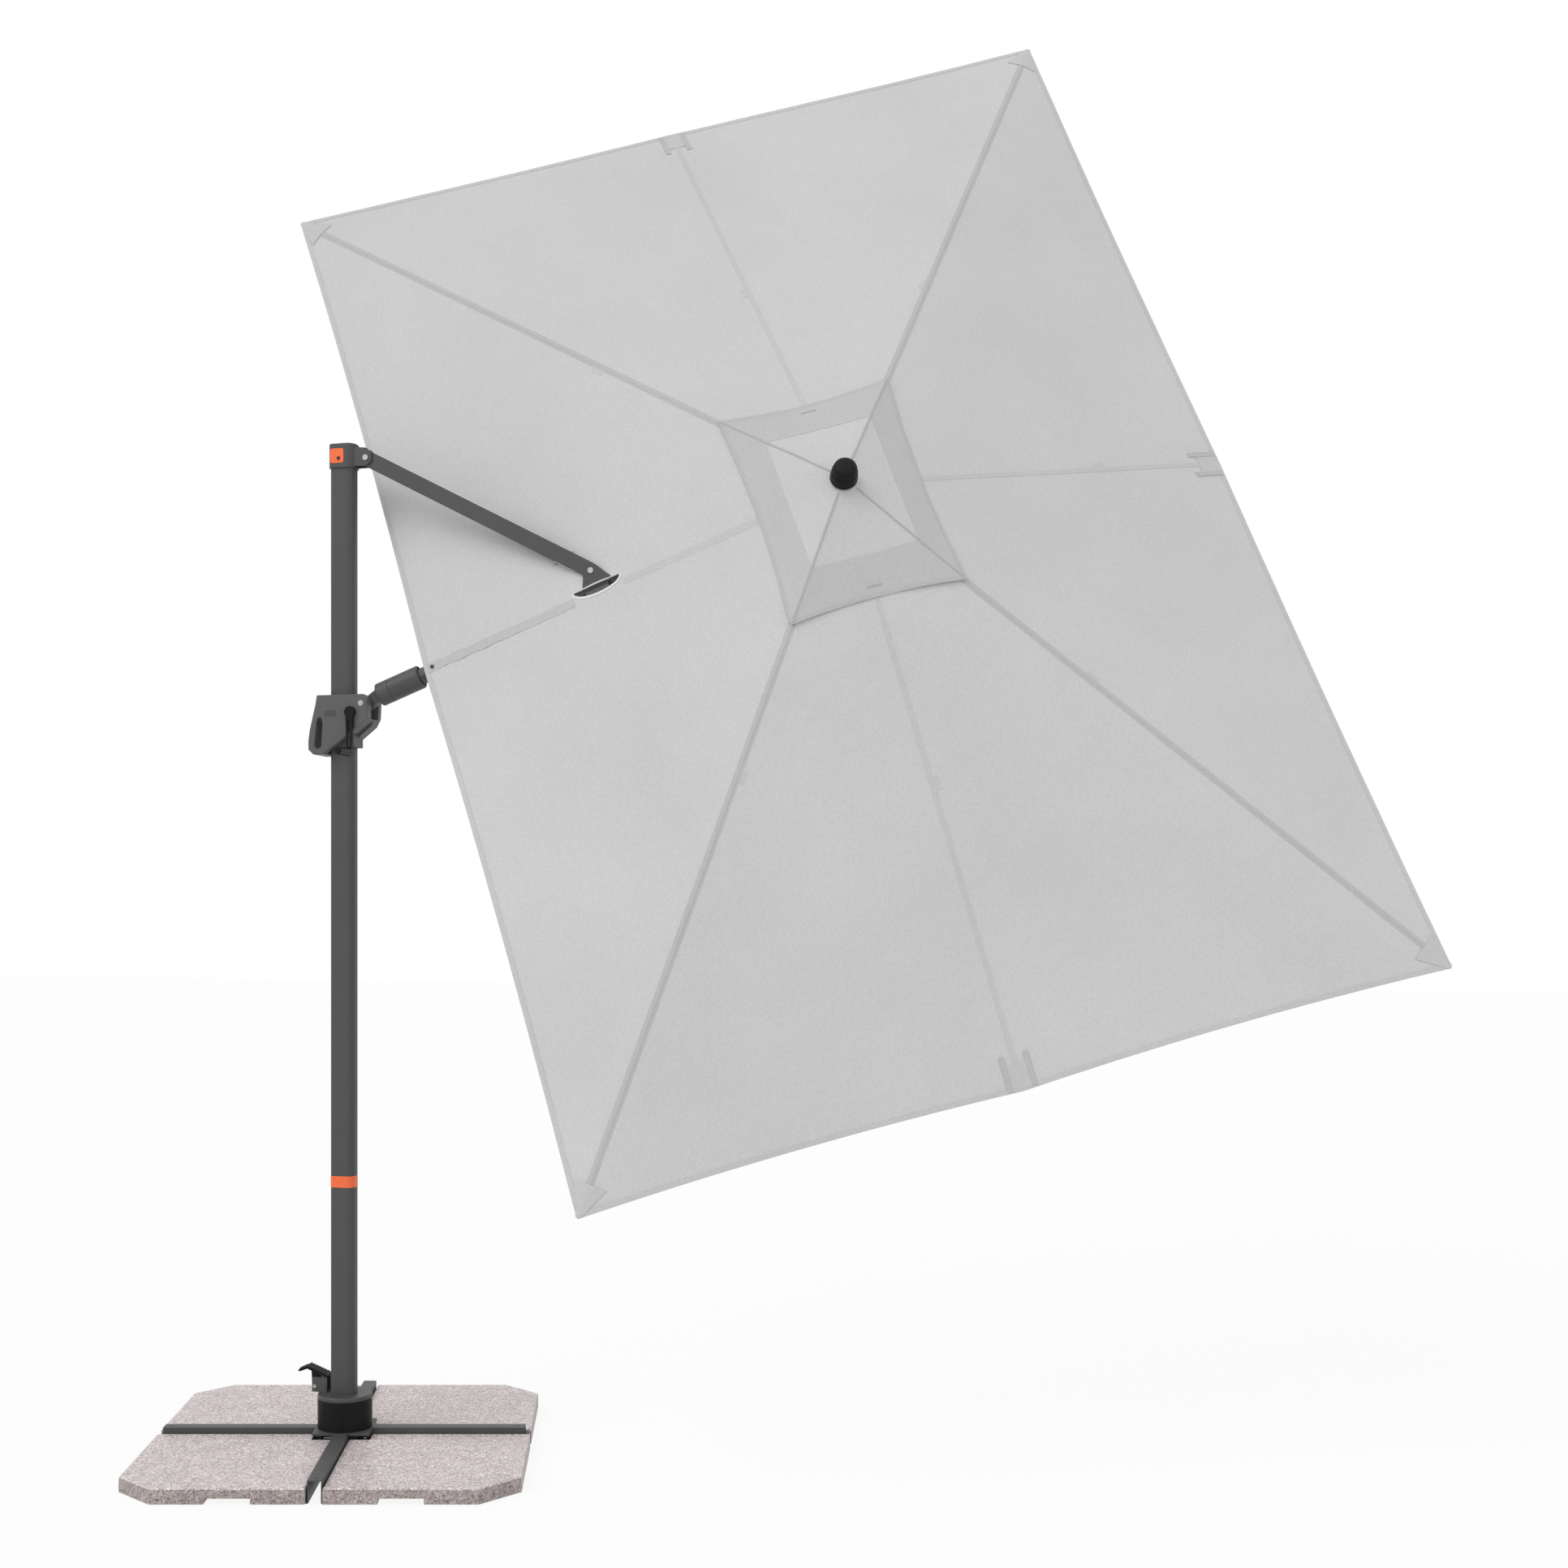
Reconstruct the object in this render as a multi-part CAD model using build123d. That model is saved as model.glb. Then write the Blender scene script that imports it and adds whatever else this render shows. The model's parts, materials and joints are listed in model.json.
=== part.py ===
from build123d import *
import os
from math import asin, atan, cos, degrees, hypot, radians, sin, tan

os.makedirs("parts", exist_ok=True)

# Cantilever parasol, millimetres, +Z up. The origin is on the mast's axis at ground level.
# The boom swings in the XZ plane, towards +X. The canopy is drawn tilted about its boom.

# ---- Driving dimensions: canopy ----
canopy_length = 2220.0      # along the boom
canopy_width = 3000.0       # across the boom
canopy_rise = 395.0         # peak above the corners
cloth = 1.5                 # thickness of the cloth
vent_share = 0.22           # vent cap, as a share of the canopy
hole_share = 0.16           # air hole under the vent cap
vent_rise = 24.0            # vent cap above the main cloth at the peak
vent_eye = 0.01             # hole for the finial's stud, as a share of the canopy
vent_lift = 9.0             # vent cap above the main cloth at its edge
cap_seat = 0.8              # from the crown's boss to the vent cap
slot_length = 220.0         # opening in the cloth round the strut
slot_width = 380.0
slot_shift = 30.0           # the opening's centre lies this far towards the mast

# ---- Driving dimensions: linkage ----
strut_length = 698.0        # between its two pivots
open_angle = 27.8           # strut below the horizontal when the parasol is open
fold_angle = 55.0           # turn of the strut from open to folded
boom_angle = 21.3           # boom above the horizontal when open
tilt_angle = 75.3           # canopy tilt about the boom
fold_gamma = 7.0            # every rib to the crown's axis when folded
top_pivot_z = 2620.0
pivot_x = 66.0              # both mast-side pivots in front of the mast's axis
boom_offset = 11.0          # boom axis above the slider's pivot
cloth_start = 187.0         # from the slider's pivot to the cloth's edge, along the boom

# ---- Driving dimensions: mast and base ----
mast_depth = 64.0
mast_width = 50.0
mast_wall = 2.5
mast_corner = 8.0
mast_nose = 20.0            # radius of the mast's corners on the boom's side
base_turn = 14.7            # the cross is turned against the mast
base_half = 493.0
arm_width = 36.0
arm_height = 56.0
arm_wall = 2.5
lip = 20.0
plate_thickness = 38.0
plate_gap = 3.0             # from a plate to the arm beside it
plate_corner = 97.0
hub_radius = 72.0
hub_height = 78.0
hub_wall = 18.0

# ---- Driving dimensions: profiles and fits ----
boom_size = 40.0            # octagon, across flats
boom_wall = 3.0
sleeve_wall = 4.0           # tilt grip's wall round its bore
spring_room = 5.35          # ring between the boom's corners and the grip's bore
spring_wire = 1.8           # radius
rib_width = 14.0
rib_height = 20.0
rib_wall = 1.5
stretcher_size = 10.0
strut_height = 40.0
strut_width = 25.0
strut_wall = 2.5
pin_radius = 5.0
rib_pin_radius = 2.5
fit = 0.08                  # a pin in its bore, on the radius
gap = 0.3                   # parts that lie beside each other
slide_gap = 1.0             # slider core round the mast

# ---- Driving dimensions: crown and runner ----
hub_pivot_radius = 40.0     # rib pivots from the crown's axis
crown_radius = 54.0
core_radius = 28.0
tongue = 6.0                # blade of a rib in its slot
boom_tongue = 16.0
runner_open = 432.0         # runner's pins below the peak, open
lug_drop = 17.0             # stretcher's pivot under the rib's axis
boom_lug_drop = 32.0
blade_length = 54.0         # thin end of a stretcher, in the runner's slot
runner_floor = 13.0         # floor of the runner's slots below its pins
carrying_stretcher = "stretcher_rear"

# ---- Worked out from the above ----
half_length = canopy_length / 2
half_width = canopy_width / 2
slope_length = degrees(atan(canopy_rise / half_length))
slope_width = degrees(atan(canopy_rise / half_width))
corner_bearing = degrees(atan(half_width / half_length))
slider_z = top_pivot_z - 2 * strut_length * sin(radians(open_angle))
lower_pin_x = pivot_x + strut_length * cos(radians(open_angle))
lower_pin_z = top_pivot_z - strut_length * sin(radians(open_angle))
pin_lead = open_angle - boom_angle
saddle_u = strut_length * cos(radians(pin_lead))
saddle_w = strut_length * sin(radians(pin_lead)) - boom_offset
boom_drop = cloth + gap + boom_size / 2
boom_round = boom_size / 2 / cos(radians(22.5))
grip_bore = boom_round + spring_room
sleeve_radius = grip_bore + sleeve_wall
ridge_length = hypot(half_length, canopy_rise)
peak_u = cloth_start + ridge_length
plate_z = arm_wall
mast_foot = 76.0
mast_top = top_pivot_z - 12.0
vent_top = vent_rise - canopy_rise * vent_eye
collar_z = arm_height + hub_height + 0.4
collar_height = 10.6

NODES = {}


def keep(name, *solids):
    """Store the solids of one sub-part under its node name."""
    NODES[name] = list(solids)


# ---- Frames ----
boom_frame = Location((pivot_x, 0, slider_z)) * Location((0, 0, 0), (0, -boom_angle, 0))
axis_frame = boom_frame * Location((0, 0, boom_offset)) * Location((0, 0, 0), (tilt_angle, 0, 0))
canopy_frame = axis_frame * Location((peak_u, 0, boom_drop)) * Location((0, 0, 0), (0, slope_length, 0))
base_frame = Location((0, 0, 0), (0, 0, base_turn))


# ---- Simple shapes ----
def block(x0, x1, y0, y1, z0, z1):
    return Pos((x0 + x1) / 2, (y0 + y1) / 2, (z0 + z1) / 2) * Box(x1 - x0, y1 - y0, z1 - z0)


def rod_x(radius, x0, x1, y=0, z=0):
    return Pos((x0 + x1) / 2, y, z) * Rot(0, 90, 0) * Cylinder(radius, x1 - x0)


def rod_y(radius, y0, y1, x=0, z=0):
    return Pos(x, (y0 + y1) / 2, z) * Rot(90, 0, 0) * Cylinder(radius, y1 - y0)


def rod_z(radius, z0, z1, x=0, y=0):
    return Pos(x, y, (z0 + z1) / 2) * Cylinder(radius, z1 - z0)


def slab(points, y0, y1):
    """An outline given as (x, z) points, between two depths."""
    outline = make_face(Polyline(*[(x, y0, z) for x, z in points], close=True))
    return extrude(outline, amount=y1 - y0, dir=(0, 1, 0))


def prism(points, depth):
    """A flat outline of 3-D points, dropped along -Z."""
    return extrude(make_face(Polyline(*points, close=True)), amount=depth, dir=(0, 0, -1))


def round_long(shape, axis, radius):
    """Round the edges that run along one axis."""
    return fillet(shape.edges().filter_by(axis), radius)


def mast_section(grow):
    """The mast's outline, grown or shrunk all round."""
    outline = Rectangle(mast_depth + 2 * grow, mast_width + 2 * grow)
    outline = fillet(outline.vertices().group_by(Axis.X)[-1], mast_nose + grow)
    return fillet(outline.vertices().group_by(Axis.X)[0], mast_corner + grow)


def mast_bar(grow, z0, z1):
    return extrude(Pos(0, 0, z0) * mast_section(grow), amount=z1 - z0)


def octagon_bar(size, x0, x1):
    """An octagonal bar along X, with a flat on top."""
    outline = Rot(0, 0, 22.5) * RegularPolygon(size / 2 / cos(radians(22.5)), 8)
    return extrude(Plane.YZ.offset(x0) * outline, amount=x1 - x0)


def spring(radius, wire, turns, length):
    """A coil along +Z, drawn as a swept wire."""
    path = Helix(pitch=length / turns, height=length, radius=radius)
    section = Plane(path @ 0, z_dir=path % 0) * Circle(wire)
    return sweep(section, path=path)


# ---- Base: cross, ballast plates, hub ----
def base_cross():
    half = arm_width / 2
    centre = 75.0
    arm = block(60, base_half - 14, -half, half, 0, arm_height)
    arm -= block(60, base_half, -half + arm_wall, half - arm_wall, -1, arm_height - arm_wall)
    for side in (-1, 1):
        edges = sorted((side * (half - arm_wall), side * (half + lip)))
        arm += block(60, base_half - 14, edges[0], edges[1], 0, arm_wall)
    arm -= rod_z(3, arm_height - 5, arm_height + 1, x=base_half - 34)
    cross = block(-centre, centre, -centre, centre, 0, arm_wall)
    cross += block(-centre, centre, -centre, centre, arm_height - 6, arm_height)
    cross += rod_z(34, arm_wall, arm_height - 6)
    for turn in range(4):
        cross += Rot(0, 0, 90 * turn) * arm
    cross -= rod_z(29, arm_wall, arm_height + 1)
    for turn in range(4):
        cross -= Rot(0, 0, 90 * turn + 45) * rod_z(4.2, arm_height - 7, arm_height + 1, x=44)
    keep("base_cross", base_frame * cross)


def ballast_plates():
    inner = arm_width / 2 + plate_gap
    top = plate_z + plate_thickness
    plate = block(inner, base_half, inner, base_half, plate_z, top)
    plate = chamfer(plate.edges().filter_by(Axis.Z).sort_by(lambda e: e.center().X + e.center().Y)[-1],
                    plate_corner)
    plate = chamfer(plate.faces().sort_by(Axis.Z)[-1].edges(), 2.5)
    plate -= block(0, 77, 0, 77, 0, top + 1)
    middle = (inner + base_half - plate_corner) / 2
    notch = Pos(middle, base_half, plate_z) * Rot(90, 0, 0) * Cylinder(120, 120)
    notch = notch - block(0, base_half, 0, base_half + 200, plate_z + 14, 400)
    notch = notch & block(middle - 56, middle + 56, base_half - 60, base_half + 60, 0, top)
    plate -= notch
    names = ("rear_right", "rear_left", "front_left", "front_right")
    feet = []
    for turn, name in enumerate(names):
        shape = plate if turn % 2 == 0 else mirror(plate, about=Plane(origin=(0, 0, 0), z_dir=(1, -1, 0)))
        keep("ballast_plate_" + name, base_frame * Rot(0, 0, 90 * turn) * shape)
        for x, y in ((400, 300), (300, 400)):
            feet.append(base_frame * Rot(0, 0, 90 * turn) * rod_z(16, 0, plate_z, x=x, y=y))
    keep("foot_pads", *feet)


def hub():
    top = arm_height + hub_height
    floor = arm_height + 10
    inner = hub_radius - hub_wall
    body = rod_z(hub_radius, arm_height, top)
    body = fillet(body.edges().group_by(Axis.Z)[-1], 3)
    body -= rod_z(inner, floor, top + 1)
    body -= rod_z(30, arm_height - 1, floor + 1)
    bolts = []
    for turn in range(4):
        place = base_frame * Rot(0, 0, 90 * turn + 45)
        body -= place * (rod_z(4.2, arm_height - 1, floor, x=44) + rod_z(7, floor - 8.4, floor + 1, x=44))
        bolts.append(place * (rod_z(4, arm_height - 12, floor - 1, x=44)
                              + rod_z(6.5, floor - 8.4, floor - 0.4, x=44)
                              + Pos(44, 0, arm_height - 9) * extrude(RegularPolygon(7, 6), 3)))
    for turn in range(12):
        body -= Rot(0, 0, 30 * turn) * rod_z(4.6, top - 12, top + 1, x=63)
    keep("hub_housing", body)
    keep("hub_bolts", *bolts)
    washer = rod_z(inner - gap, floor, floor + 4) - rod_z(30, floor - 1, floor + 5)
    keep("thrust_washer", washer)
    socket = rod_z(inner - gap, floor + 4, collar_z) + rod_z(30 - gap, arm_height + 1, floor + 4)
    socket -= mast_bar(gap, mast_foot, collar_z + 1)
    keep("mast_socket", socket)
    collar = rod_z(hub_radius, collar_z, collar_z + collar_height)
    collar = fillet(collar.edges().group_by(Axis.Z)[-1], 5)
    collar -= mast_bar(gap, collar_z - 1, collar_z + 30)
    collar -= rod_z(4 + fit, collar_z - 1, collar_z + 30, x=-63)
    keep("turn_collar", collar)


# ---- Pedal on the turning collar ----
pedal_pin = (-80.0, 160.0)
bolt_x = -63.0
bridge_z = 181.0


def pedal():
    base = collar_z + collar_height
    bracket = block(-88, -46, -15, 15, base, base + 4)
    for side in (-1, 1):
        edges = sorted((side * 11, side * 15))
        bracket += block(-88, -46, edges[0], edges[1], base, bridge_z + 3)
    bracket += block(-71, -54, -15, 15, bridge_z, bridge_z + 3)
    bracket -= rod_z(4 + fit, base - 1, bridge_z + 4, x=bolt_x)
    bracket -= rod_y(3 + fit, -16, 16, x=pedal_pin[0], z=pedal_pin[1])
    keep("pedal_bracket", bracket)
    tread = slab([(-43, 192), (-101, 213), (-120, 208), (-128, 199), (-122, 197), (-101, 205), (-46, 185)],
                 -17, 17)
    for step in range(7):
        rib_x = -54 - 8 * step
        rib_z = 192 + (-43 - rib_x) * 21 / 58
        tread += rod_y(1.6, -17, 17, x=rib_x, z=rib_z)
    lever = slab([(-90, 158), (-72, 158), (-72, 197), (-92, 204)], -10, 10)
    lever += rod_y(9, -10, 10, x=pedal_pin[0], z=pedal_pin[1])
    prongs = block(-74, -61, -9, 9, 154.5, 159.4) - block(-69.5, -60, -5, 5, 150, 165)
    lever += prongs
    lever -= rod_y(3 + fit, -11, 11, x=pedal_pin[0], z=pedal_pin[1])
    keep("pedal", tread + lever)
    bolt = rod_z(4, 126, 172, x=bolt_x) + rod_z(7, 160, 162, x=bolt_x)
    keep("lock_bolt", bolt)
    keep("lock_spring", Pos(bolt_x, 0, 163.3) * spring(5.4, 0.8, 5, bridge_z - 164.6))


# ---- Mast ----
ear_gap = strut_width / 2 + 0.5
ear_wall = 5.0


def mast():
    keep("mast_tube", mast_bar(0, mast_foot, mast_top) - mast_bar(-mast_wall, mast_foot - 1, mast_top + 1))
    band = mast_bar(0.6, 692, 722) - mast_bar(0, 690, 724)
    cap = mast_bar(4, mast_top - 12, top_pivot_z + 40)
    cap = fillet(cap.edges().group_by(Axis.Z)[-1], 3)
    face = mast_depth / 2 + 2
    for side in (-1, 1):
        edges = sorted((side * ear_gap, side * (ear_gap + ear_wall)))
        ear = slab([(face - 20, top_pivot_z - 20), (pivot_x + 4, top_pivot_z - 20),
                    (pivot_x + 16, top_pivot_z - 8), (pivot_x + 16, top_pivot_z + 12),
                    (pivot_x + 2, top_pivot_z + 26), (face - 20, top_pivot_z + 32)], edges[0], edges[1])
        cap += ear
    cap -= mast_bar(0.02, mast_top - 13, mast_top)
    outer = ear_gap + ear_wall
    cap -= rod_y(pin_radius + fit, -outer - 1, outer + 1, x=pivot_x, z=top_pivot_z)
    side_y = mast_width / 2 + 4
    badge = block(-30, 8, -side_y - 0.6, -side_y, top_pivot_z - 12, top_pivot_z + 26)
    badge = round_long(badge, Axis.Y, 6)
    keep("mast_cap", cap)
    keep("trim_labels", band, badge)
    top_pin = rod_y(pin_radius, -outer, outer, x=pivot_x, z=top_pivot_z)
    for side in (-1, 1):
        edges = sorted((side * outer, side * (outer + 3)))
        top_pin += rod_y(7.5, edges[0], edges[1], x=pivot_x, z=top_pivot_z)
    foot_pin = rod_y(3, -15, 15, x=pedal_pin[0], z=pedal_pin[1])
    foot_pin += rod_y(5, -17, -15, x=pedal_pin[0], z=pedal_pin[1])
    keep("pivot_pins", top_pin, foot_pin)


# ---- Strut ----
def strut():
    half = strut_height / 2
    side = strut_width / 2
    bar = block(0, strut_length, -side, side, -half, half)
    bar += rod_y(half, -side, side, x=0) + rod_y(half, -side, side, x=strut_length)
    hollow = block(40, strut_length - 40, -side + strut_wall, side - strut_wall,
                   -half + strut_wall, half - strut_wall)
    bar -= hollow
    for x in (0, strut_length):
        bar -= rod_y(pin_radius + fit, -side - 1, side + 1, x=x)
    place = Location((pivot_x, 0, top_pivot_z)) * Location((0, 0, 0), (0, open_angle, 0))
    keep("strut", place * bar)


# ---- Carrier: knuckle at the slider and saddle on the boom ----
sleeve_start = 40.0
sleeve_end = 76.0
spindle_radius = 15.0
eye_radius = 16.0
knuckle_half = 13.0


def carrier():
    knuckle = rod_y(eye_radius, -knuckle_half, knuckle_half)
    knuckle += slab([(0, -eye_radius), (sleeve_start + 5, boom_offset - 18),
                     (sleeve_start + 5, boom_offset + 18), (0, eye_radius)], -knuckle_half, knuckle_half)
    sleeve = rod_x(sleeve_radius, sleeve_start, sleeve_end, z=boom_offset)
    sleeve = fillet(sleeve.edges().sort_by(Axis.X)[0], 4)
    knuckle += sleeve
    knuckle -= rod_x(spindle_radius + fit, sleeve_start + 6, sleeve_end + 1, z=boom_offset)
    knuckle -= rod_y(pin_radius + fit, -knuckle_half - 1, knuckle_half + 1)
    keep("carrier_knuckle", boom_frame * knuckle)
    inner = boom_round + gap
    half = strut_width / 2 + 1.5
    cheek = strut_width / 2 + 0.5
    outer = cheek + 4
    ring = rod_x(inner + 5, saddle_u - 32, saddle_u + 32, z=boom_offset)
    flange_z = boom_offset + inner + 3
    lug_top = boom_offset + saddle_w
    ring += block(saddle_u - 66, saddle_u + 66, -half, half, flange_z, flange_z + 5)
    for side in (-1, 1):
        edges = sorted((side * cheek, side * outer))
        ring += slab([(saddle_u - 40, flange_z + 1), (saddle_u + 48, flange_z + 1),
                      (saddle_u + 16, lug_top + 12), (saddle_u - 16, lug_top + 12)], edges[0], edges[1])
    ring += block(saddle_u - 32, saddle_u + 32, -half, half, boom_offset + inner - 2, flange_z + 1)
    ring -= rod_x(inner, saddle_u - 70, saddle_u + 70, z=boom_offset)
    ring -= rod_y(pin_radius + fit, -30, 30, x=saddle_u, z=lug_top)
    keep("saddle_collar", boom_frame * ring)
    pin = rod_y(pin_radius, -outer, outer, x=saddle_u, z=lug_top)
    for side in (-1, 1):
        edges = sorted((side * outer, side * (outer + 2.5)))
        pin += rod_y(7.5, edges[0], edges[1], x=saddle_u, z=lug_top)
    keep("saddle_pin", boom_frame * pin)


# ---- Slider on the mast ----
core_wall = 5.0
core_x = mast_depth / 2 + slide_gap + core_wall
core_y = mast_width / 2 + slide_gap + core_wall
front_y = -50.0
rear_y = 42.0
crank_x = 37.0
crank_z = slider_z - 23
liner_height = 26.0
pin_head = 1.8              # low enough for the crank's arm to pass over it


def slider():
    low = slider_z - 112
    high = slider_z + 20
    core = block(-core_x, core_x, -core_y, core_y, low, high)
    for side in (-1, 1):
        edges = sorted((side * (knuckle_half + gap), side * (knuckle_half + gap + 6)))
        ear = block(core_x - 2, pivot_x, edges[0], edges[1], slider_z - 17, slider_z + 17)
        core += ear + rod_y(17, edges[0], edges[1], x=pivot_x, z=slider_z)
    core -= mast_bar(slide_gap, low - 1, high + 1)
    liners = []
    for z in (low + 4, high - 4 - liner_height):
        core -= mast_bar(slide_gap + 2, z, z + liner_height)
        liners.append(mast_bar(slide_gap + 2, z, z + liner_height) - mast_bar(gap, z - 1, z + liner_height + 1))
    core -= rod_y(pin_radius + fit, -30, 30, x=pivot_x, z=slider_z)
    keep("slider_core", core)
    keep("slider_liners", *liners)

    def z(drop):
        return slider_z - drop

    left = [(-33, z(126)), (-40, z(132)), (-70, z(132)), (-84, z(119)), (-84, z(96)),
            (-80, z(66)), (-64, z(0)), (-60, z(-24))]
    front = [(70, z(-24)), (83, z(-12)), (83, z(42)), (23, z(89))]
    rear = [(70, z(-24)), (88, z(-6)), (86, z(36)), (75, z(57)), (26, z(96))]
    slot = slab([(-46, z(36)), (-42, z(50)), (-46, z(112)), (-54, z(118)), (-64, z(114)),
                 (-66, z(106)), (-60, z(44)), (-54, z(34))], front_y - 1, rear_y + 1)
    pocket = block(-core_x - 0.2, core_x + 0.2, -core_y - 0.2, core_y + 0.2, low - 60, high + 60)
    swing = block(core_x - 1, 140, -knuckle_half - 7, knuckle_half + 7, slider_z - 40, slider_z + 60)
    pin_hole = rod_y(pin_radius + fit, front_y - 1, rear_y + 1, x=pivot_x, z=slider_z)
    shells = (("slider_front_shell", front, front_y, -0.15), ("slider_rear_shell", rear, 0.15, rear_y))
    for name, right, y0, y1 in shells:
        shell = slab(left + right, y0, y1)
        face = shell.faces().sort_by(Axis.Y)[0 if y0 < -1 else -1]
        shell = chamfer(face.edges(), 3)
        shell = shell - slot - pocket - swing - pin_hole
        if y0 < -1:
            shell -= rod_y(19, front_y + 4, 0, x=crank_x, z=crank_z)
            shell -= rod_y(pin_radius + fit, front_y - 1, 0, x=crank_x, z=crank_z)
        keep(name, shell)
    pin = rod_y(pin_radius, front_y, rear_y, x=pivot_x, z=slider_z)
    pin += rod_y(7.5, front_y - pin_head, front_y, x=pivot_x, z=slider_z)
    pin += rod_y(7.5, rear_y, rear_y + pin_head, x=pivot_x, z=slider_z)
    keep("knuckle_pin", pin)


crank_reach = 107.0
grip_length = 76.0


def crank():
    disc_y = front_y - 0.4
    shaft = rod_y(pin_radius, disc_y, -core_y - gap, x=crank_x, z=crank_z)
    disc = rod_y(15, disc_y - 9, disc_y, x=crank_x, z=crank_z)
    disc = fillet(disc.edges().sort_by(Axis.Y)[0], 2)
    end_z = crank_z - crank_reach
    arm = slab([(crank_x - 11, crank_z), (crank_x + 11, crank_z), (crank_x + 7, end_z), (crank_x - 7, end_z)],
               disc_y - 9, disc_y - 2)
    arm -= slab([(crank_x - 4, crank_z - 22), (crank_x + 4, crank_z - 22), (crank_x + 2, end_z + 16),
                 (crank_x - 2, end_z + 16)], disc_y - 10, disc_y)
    arm += rod_y(9, disc_y - 9, disc_y - 2, x=crank_x, z=end_z)
    arm += rod_y(4, disc_y - 4 - grip_length, disc_y - 5, x=crank_x, z=end_z)
    keep("crank", shaft + disc + arm)
    grip_y = disc_y - 9 - gap
    grip = rod_y(10.5, grip_y - grip_length, grip_y, x=crank_x, z=end_z)
    grip = fillet(grip.edges().sort_by(Axis.Y)[0], 4)
    grip = fillet(grip.edges().sort_by(Axis.Y)[-1], 2)
    grip -= rod_y(4 + fit, grip_y - grip_length + 4, grip_y + 1, x=crank_x, z=end_z)
    keep("crank_grip", grip)
    drum = rod_y(10, -45.5, -core_y - 1, x=crank_x, z=crank_z)
    for y in (-45.5, -34.5):
        drum += rod_y(17, y, y + 2.5, x=crank_x, z=crank_z)
    drum -= rod_y(pin_radius, -50, -20, x=crank_x, z=crank_z)
    keep("rope_drum", drum)


# ---- Boom, tilt grip and crown ----
grip_start = sleeve_end + 1.0
grip_end = 166.0
grip_travel = 10.0


def pivot_depth(slope, drop):
    """Depth below the peak of a pivot on a bar that lies a given drop under the cloth."""
    return hub_pivot_radius * tan(radians(slope)) + drop / cos(radians(slope))


def folded_runner():
    """Depth of the runner's pins when folded, set by the rear rib.

    Its stretcher is as long as the arm from the rib's pivot to its lug, so the two stay
    mirrored and the runner, which it carries, stays on the crown's axis."""
    depth = pivot_depth(slope_width, rib_height / 2 + cloth + gap)
    arm = 700.0
    for _ in range(40):
        lean = degrees(asin(lug_drop / arm))
        arm = (runner_open - depth) / (2 * cos(radians(90 - slope_width - lean)))
    return depth + 2 * arm * cos(radians(fold_gamma - lean))


def stretcher_anchor(depth, slope, drop):
    """Place and length of a stretcher that is as long with the canopy open as folded.

    Returns the distance of its pivot along the bar, its length, and its angles to the
    crown's axis when open and when folded."""

    def length_at(along, gamma, runner):
        out = along * sin(gamma) - drop * cos(gamma)
        down = depth + along * cos(gamma) + drop * sin(gamma)
        return hypot(out, runner - down), out, runner - down

    low, high = 300.0, 1100.0
    opened = radians(90 - slope)
    folded = radians(fold_gamma)
    for _ in range(60):
        middle = (low + high) / 2
        if length_at(middle, opened, runner_open)[0] > length_at(middle, folded, runner_folded)[0]:
            high = middle
        else:
            low = middle
    size, out, down = length_at(low, opened, runner_open)
    size_folded, out_folded, down_folded = length_at(low, folded, runner_folded)
    return low, size, degrees(asin(out / size)) if down > 0 else 180 - degrees(asin(out / size)), \
        degrees(asin(out_folded / size_folded))


def boom():
    pivot_u = boom_pivot_x
    tube = octagon_bar(boom_size, sleeve_end + 4, pivot_u - 45)
    tube -= octagon_bar(boom_size - 2 * boom_wall, sleeve_end + 40, pivot_u - 70)
    tube += rod_x(spindle_radius, sleeve_start + 7, sleeve_end + 5)
    blade = block(pivot_u - 46, pivot_u, -boom_tongue / 2, boom_tongue / 2, -12, 12)
    blade += rod_y(12, -boom_tongue / 2, boom_tongue / 2, x=pivot_u)
    tube += blade
    tube -= rod_y(pin_radius + fit, -20, 20, x=pivot_u)
    tube += rod_x(grip_bore - 0.5, grip_end - 6, grip_end - 3)
    along = boom_anchor[0]
    lug_x = pivot_u - along
    lug = slab([(lug_x - 14, -boom_size / 2 + 1), (lug_x + 14, -boom_size / 2 + 1),
                (lug_x + 6, -boom_lug_drop - 4), (lug_x - 6, -boom_lug_drop - 4)], -tongue / 2, tongue / 2)
    lug += rod_y(6, -tongue / 2, tongue / 2, x=lug_x, z=-boom_lug_drop)
    lug -= rod_y(rib_pin_radius + fit, -5, 5, x=lug_x, z=-boom_lug_drop)
    tube += lug
    keep("boom_tube", axis_frame * tube)
    grip = rod_x(sleeve_radius, grip_start, grip_end)
    grip = fillet(grip.edges().sort_by(Axis.X)[-1], 4)
    grip -= rod_x(boom_round + gap, grip_start - 1, grip_end + 1)
    grip -= rod_x(grip_bore, grip_start + 24, grip_end + 1)
    keep("tilt_grip", axis_frame * grip)
    spring_start = grip_start + 24 + spring_wire + gap
    spring_end = grip_end - 6 - spring_wire - gap
    coil = Rot(0, 90, 0) * spring((boom_round + grip_bore) / 2, spring_wire, 5, spring_end - spring_start)
    keep("tilt_spring", axis_frame * Pos(spring_start, 0, 0) * coil)


def boom_end():
    """Boom pivot's distance along the boom axis from the slider's pivot."""
    s = radians(slope_length)
    depth = pivot_depth(slope_length, boom_drop)
    return peak_u - hub_pivot_radius * cos(s) - depth * sin(s)


runner_folded = folded_runner()
boom_pivot_x = boom_end()
boom_anchor = stretcher_anchor(pivot_depth(slope_length, boom_drop), slope_length, boom_lug_drop)


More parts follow.
